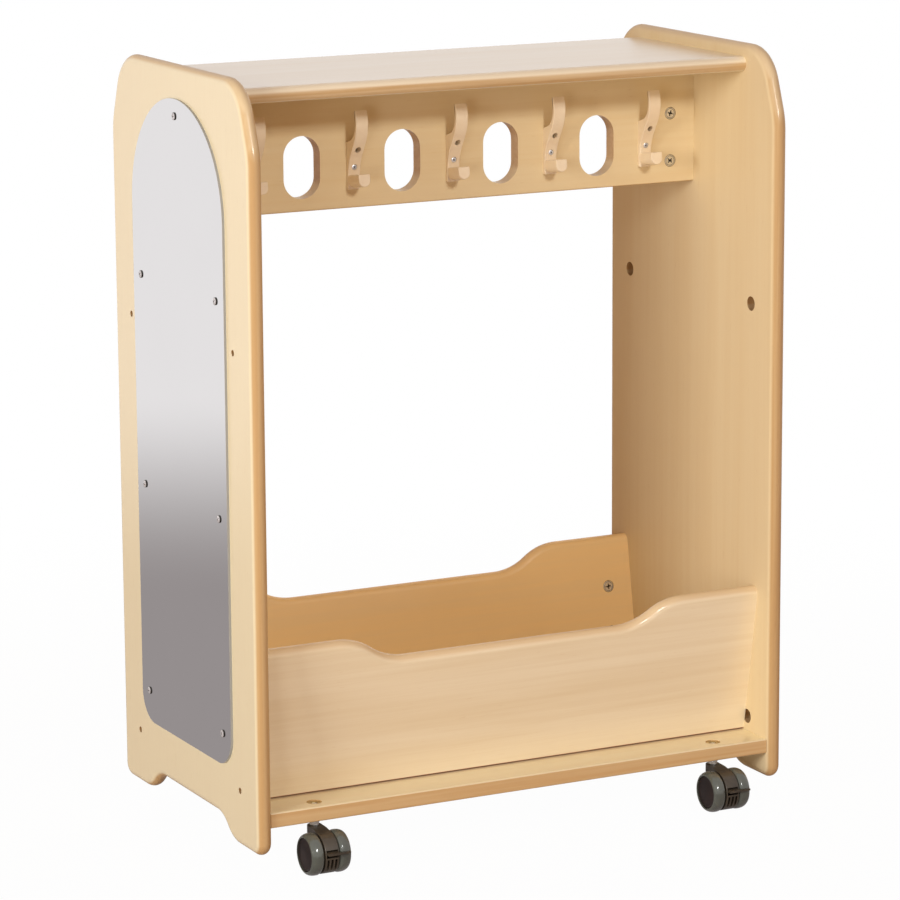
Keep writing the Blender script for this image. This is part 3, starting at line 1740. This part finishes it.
@dataclass
class Hooks:
    """Moulded hooks: an S-shaped arm above a peg with a flat top and a round underside.

    Attributes:
        width: Width of a hook.
        ease: Radius of its moulded edges.
        plate: Thickness at its foot.
        reach: Projection of the arm.
        bend_h: Height of the first bend.
        lean: Lean of the arm.
        arm: Thickness of the arm at its tip.
        pocket_r: Radius of the pocket behind the arm.
        peg_r: Radius of the peg's underside.
        peg_reach: Projection of the peg.
        peg_h: Height of the peg above the foot.
        peg_tilt: Upward tilt of the peg.
        peg_corner: Radius of the peg's top corners.
        peg_end: Radius of the peg's end.
        root: Length of the peg inside the plate.
        bend_r: Radius of the first bend.
        arm_r: Radius of the second bend.
        tip_r: Radius of the tip's outer face.
        tip_a: Angle of that face.
        pocket_a: Angle of the pocket.
        pocket_drop: Straight drop between the tip and the pocket.
        shank_bore: Radius of a screw's bore.
        head_bore: Radius of the bore for its head.
    """

    width: float = 16.0
    ease: float = 1.3
    plate: float = 4.5
    reach: float = 28.0
    bend_h: float = 15.0
    lean: float = 32.0
    arm: float = 4.8
    pocket_r: float = 19.0
    peg_r: float = 7.5
    peg_reach: float = 33.5
    peg_h: float = 9.4
    peg_tilt: float = 8.4
    peg_corner: float = 1.6
    peg_end: float = 1.2
    root: float = 3.0
    bend_r: float = 50.0
    arm_r: float = 45.0
    tip_r: float = 30.0
    tip_a: float = 30.0
    pocket_a: float = 72.0
    pocket_drop: float = 2.7
    shank_bore: float = 1.95
    head_bore: float = 3.5

    def side(self, distance: float) -> list[tuple[float, float]]:
        """The hook's side outline, drawn in by a distance: projection from the rail and height.

        Args:
            distance: How far the outline is drawn in.

        Returns:
            The stops of the outline.
        """
        lean_run = self.reach - self.plate - (self.bend_r + self.arm_r) * (1 - cosine(self.lean))
        tip = self.arm - self.tip_r * (1 - cosine(self.tip_a))
        tip_end = tip / (1 + cosine(self.tip_a))
        drop = (self.tip_r - tip_end) * sine(self.tip_a) + self.pocket_drop
        pocket_x = self.reach - self.arm - self.pocket_r * (1 - cosine(self.pocket_a))
        steps = [
            (self.bend_h, 0), (self.bend_r, -self.lean),
            (lean_run / sine(self.lean), 0), (self.arm_r, self.lean),
            (self.tip_r, self.tip_a), (tip_end, 180 - self.tip_a),
            (drop, 0), (self.pocket_r, -self.pocket_a),
            (pocket_x / sine(self.pocket_a), 0),
        ]
        steps = inset(steps, distance)
        steps[0] = (self.bend_h - distance, 0)
        stops = [(x, y) for x, y, _, _ in walk(steps, (self.plate - distance, distance), 90.0, 4.0)]
        x, y = stops[-1]
        stops[-1] = (0.0, y - x / math.tan(math.radians(self.pocket_a)))
        return [*stops, (0.0, distance)]

    def strap(self) -> Solid:
        """The arm and its plate, lofted across its width with rounded edges.

        Returns:
            The solid.
        """
        half = self.width / 2
        layers = [
            (half - self.ease * (1 - cosine(a)), self.ease * (1 - sine(a))) for a in fan(0.0, 90.0, 5)
        ]
        layers = [(-x, d) for x, d in layers] + [(x, d) for x, d in reversed(layers)]
        return Solid().loft([[(x, -out, up) for out, up in self.side(d)] for x, d in layers])

    def peg(self) -> Solid:
        """The peg, with rounded top corners and a rounded end.

        Returns:
            The solid.
        """
        flat = self.peg_r - self.peg_corner
        top = [(flat, 0), (self.peg_corner, 90), (2 * flat, 0), (self.peg_corner, 90), (flat, 0)]
        section = [(self.peg_r, 90), *top, (self.peg_r, 90)]
        length = self.peg_reach - self.plate
        layers = [(-self.root, 0.0)] + [
            (length - self.peg_end * (1 - sine(a)), self.peg_end * (1 - cosine(a)))
            for a in fan(0.0, 90.0, 5)
        ]
        rings = [
            [(x, y, z) for x, y, _, _ in walk(inset(section, d), (0.0, d - self.peg_r), 0.0, 6.0)[:-1]]
            for z, d in layers
        ]
        place = Matrix.Translation((0, -self.plate, self.peg_h))
        return Solid().loft(rings, place @ Matrix.Rotation(math.radians(90 - self.peg_tilt), 4, "X"))

    def build(self) -> None:
        """Makes one hook and places ten copies of it."""
        pattern = self.strap().piece("hook_pattern")
        combine(pattern, self.peg(), Joining.JOIN)
        narrow, wide, over, clear = self.shank_bore, self.head_bore, JOINERY.over, 40.0
        hole = [(0, -over), (narrow, -over), (narrow, HOOK_WEB), (wide, HOOK_WEB), (wide, clear), (0, clear)]
        bores = Solid()
        for z in HOOK_SCREW_Z:
            bores.turned(hole, facing((0, 0, z), (0, -1, 0)))
        combine(pattern, bores, Joining.CUT)
        ivory = IVORY.material()
        for side, turn in (("front", 0.0), ("rear", math.pi)):
            for i, x in enumerate(HOOK_XS):
                place = Matrix.Rotation(turn, 4, "Z") @ Matrix.Translation((x, -JOINERY.half_t, HOOK_Z))
                hook = placed(f"{side}_coat_hook_{i + 1}", pattern.data.copy())
                finish_piece(hook, ivory, FRAME_BODY, f"{side}_hook_{i + 1}", place=place)
        bpy.data.objects.remove(pattern)


@dataclass
class Casters:
    """The four twin wheel casters.

    Attributes:
        rows: Name, place in X and Y, and turn of the trailing wheels, a caster each.
        trail: Distance of the axle behind the stem.
        wheel_r: Radius of the wheels.
        span: Half the width over both wheels.
        inner: Distance of a wheel's inner face from the caster's middle.
        boss_top: Height of the housing's top.
        axle_bore: Radius of the bores for the axle.
        axle_deep: Distance of a hub's bore end from the caster's middle.
        hub_r: Radius of a wheel's hub.
        seat: Inner radius of a wheel's tread.
        shoulder: Depth and width of the tread's outer shoulder.
        back: Depth and width of its inner shoulder.
        stem_bore: Radius of the bore for the stem.
        stem_deep: Its depth.
        pin_bore: Radius of the bore for the brake's pin.
        pin: Place of the pin in Y and Z.
        rib_gap: Half width of a gap between the ribs.
        rib_pitch: Distance between these gaps.
    """

    rows: tuple[tuple[str, float, float, float], ...] = (
        ("front_left", -268.0, -174.0, 0.0),
        ("front_right", 268.0, -174.0, 0.0),
        ("rear_left", -268.0, 174.0, 90.0),
        ("rear_right", 268.0, 174.0, 180.0),
    )
    trail: float = 25.0
    wheel_r: float = 25.0
    span: float = 25.0
    inner: float = 9.3
    boss_top: float = 52.0
    axle_bore: float = 3.05
    axle_deep: float = 22.0
    hub_r: float = 19.8
    seat: float = 19.85
    shoulder: tuple[float, float] = (4.7, 8.6)
    back: tuple[float, float] = (4.8, 5.2)
    stem_bore: float = 4.05
    stem_deep: float = 22.5
    pin_bore: float = 1.55
    pin: tuple[float, float] = (-41.0, 30.0)
    rib_gap: float = 1.5
    rib_pitch: float = 4.9

    def hub(self) -> list[tuple[float, float]]:
        """Profile of a wheel's hub: a low dome inside a rounded rim.

        Returns:
            Radius and distance from the caster's middle, a pair a point.
        """
        bore, deep, inner, ease = self.axle_bore, self.axle_deep, self.inner, 0.5
        inside = [(0, deep), (bore, deep), (bore, inner)]
        inside += [(self.hub_r - ease, inner), (self.hub_r, inner + ease)]
        rim = [(self.hub_r, 22.6), (19.5, 23.2), (19.0, 23.5), (18.4, 23.6), (17.8, 23.5), (17.3, 23.2)]
        dome = [(16.6, 23.15), (12.0, 23.6), (7.0, 23.9), (3.0, 24.05), (0, 24.1)]
        return inside + rim + dome

    def tread(self) -> list[tuple[float, float]]:
        """Profile of a wheel's tread: a long round shoulder outside, a short one inside.

        Returns:
            Radius and distance from the caster's middle, a pair a point.
        """
        (deep, wide), (low, short) = self.shoulder, self.back
        outer = [
            (self.wheel_r - deep * (1 - cosine(a)), self.span - wide * (1 - sine(a)))
            for a in fan(0.0, 90.0, 15)
        ]
        inner = [
            (self.wheel_r - low * (1 - cosine(a)), self.inner + short * (1 - sine(a)))
            for a in fan(90.0, 0.0, 9)
        ]
        edge = [(self.seat + 0.1, self.span - 0.3), (self.seat, self.span - 1.0)]
        return [(self.seat, self.inner), *inner, *outer, *edge]

    def housing(self, braked: bool) -> bpy.types.Object:
        """The housing: a disc with a neck and a boss, ribbed below, and slotted where it has a brake.

        Args:
            braked: Whether it holds a brake lever.

        Returns:
            The housing, trailing to the front.
        """
        axle = facing((0, -self.trail, self.wheel_r), (1, 0, 0))
        rim = [(23.4, 8.8), (23.9, 8.6), (24.2, 8.0)]
        disc = [(0, 8.8), *rim, *[(r, -h) for r, h in reversed(rim)], (0, -8.8)]
        piece = Solid().turned(disc, axle, 120).piece("housing_pattern")
        crown = [(-28.0, 48.4), (-22.0, 50.3), (-15.0, 51.4), (-8.0, 51.7), (0.6, 51.7)]
        neck = [*crown, (0.6, 29.0), (-25.0, 29.0)]
        layers = [(-8.6, 0.6), (-8.4, 0.2), (-7.9, 0.0), (7.9, 0.0), (8.4, 0.2), (8.6, 0.6)]
        body = Solid().loft([[(x, y, z - drop) for y, z in neck] for x, drop in layers])
        combine(piece, body, Joining.JOIN)
        top = self.boss_top
        boss = [(0, 28.0), (8.7, 28.0), (8.7, top - 0.8), (8.45, top - 0.25), (7.9, top), (0, top)]
        combine(piece, Solid().turned(boss), Joining.JOIN)
        cuts = Solid().rod(self.stem_bore, top - self.stem_deep, top + JOINERY.over)
        cuts.rod(self.axle_bore, -30.0, 30.0, axle)
        for x in (-self.rib_pitch, 0.0, self.rib_pitch):
            low = (x - self.rib_gap, -self.trail - self.wheel_r, 1.0)
            cuts.block(low, (x + self.rib_gap, -self.trail - 17.0, 22.5))
        if braked:
            pin = Solid().rod(self.pin_bore, -8.4, 8.4, facing((0, *self.pin), (1, 0, 0)))
            combine(piece, pin, Joining.CUT)
            cuts.block((-7.4, -55.5, 24.5), (7.4, -37.4, 33.6))
        combine(piece, cuts, Joining.CUT)
        return piece

    def build(self) -> None:
        """Makes housings, hubs and treads, and dresses stems, axles and brakes."""
        nylon, dark, grey = NYLON.material(), HUB_NYLON.material(), TREAD.material()
        patterns = {braked: self.housing(braked) for braked in (True, False)}
        for name, x, y, turn in self.rows:
            caster = Matrix.Translation((x, y, 0)) @ Matrix.Rotation(math.radians(turn), 4, "Z")
            housing = placed(f"{name}_caster_housing", patterns[y < 0].data.copy())
            finish_piece(housing, nylon, f"{name}_caster", f"{name}_housing", place=caster)
            for k, side in ((1, -1), (2, 1)):
                wheel = caster @ facing((0, -self.trail, self.wheel_r), (side, 0, 0))
                hub = Solid().turned(self.hub(), count=96).piece(f"{name}_wheel_hub_{k}")
                finish_piece(hub, dark, f"{name}_wheel_{k}", f"{name}_hub_{k}", place=wheel)
                tread = Solid().turned(self.tread(), count=96).piece(f"{name}_wheel_tread_{k}")
                finish_piece(tread, grey, f"{name}_wheel_{k}", f"{name}_tread_{k}", place=wheel)
        for pattern in patterns.values():
            bpy.data.objects.remove(pattern)
        names = [row[0] for row in self.rows]
        dress([f"{n}_stem" for n in names], STEM_ZINC.material())
        dress([f"{n}_axle" for n in names], AXLE_STEEL.material())
        dress([f"{n}_brake" for n in names[:2]], nylon)


def main() -> None:
    """Builds the sub-assemblies in order."""
    logging.basicConfig(level=logging.INFO, format="%(message)s")
    bpy.context.scene.view_settings.view_transform = "Standard"
    for part in (Studio(), SidePanels(), TroughBoards(), FlatBoards(), Fasteners(), Hooks(), Casters()):
        part.build()
        LOG.info("built %s", type(part).__name__)


if __name__ == "__main__":
    main()
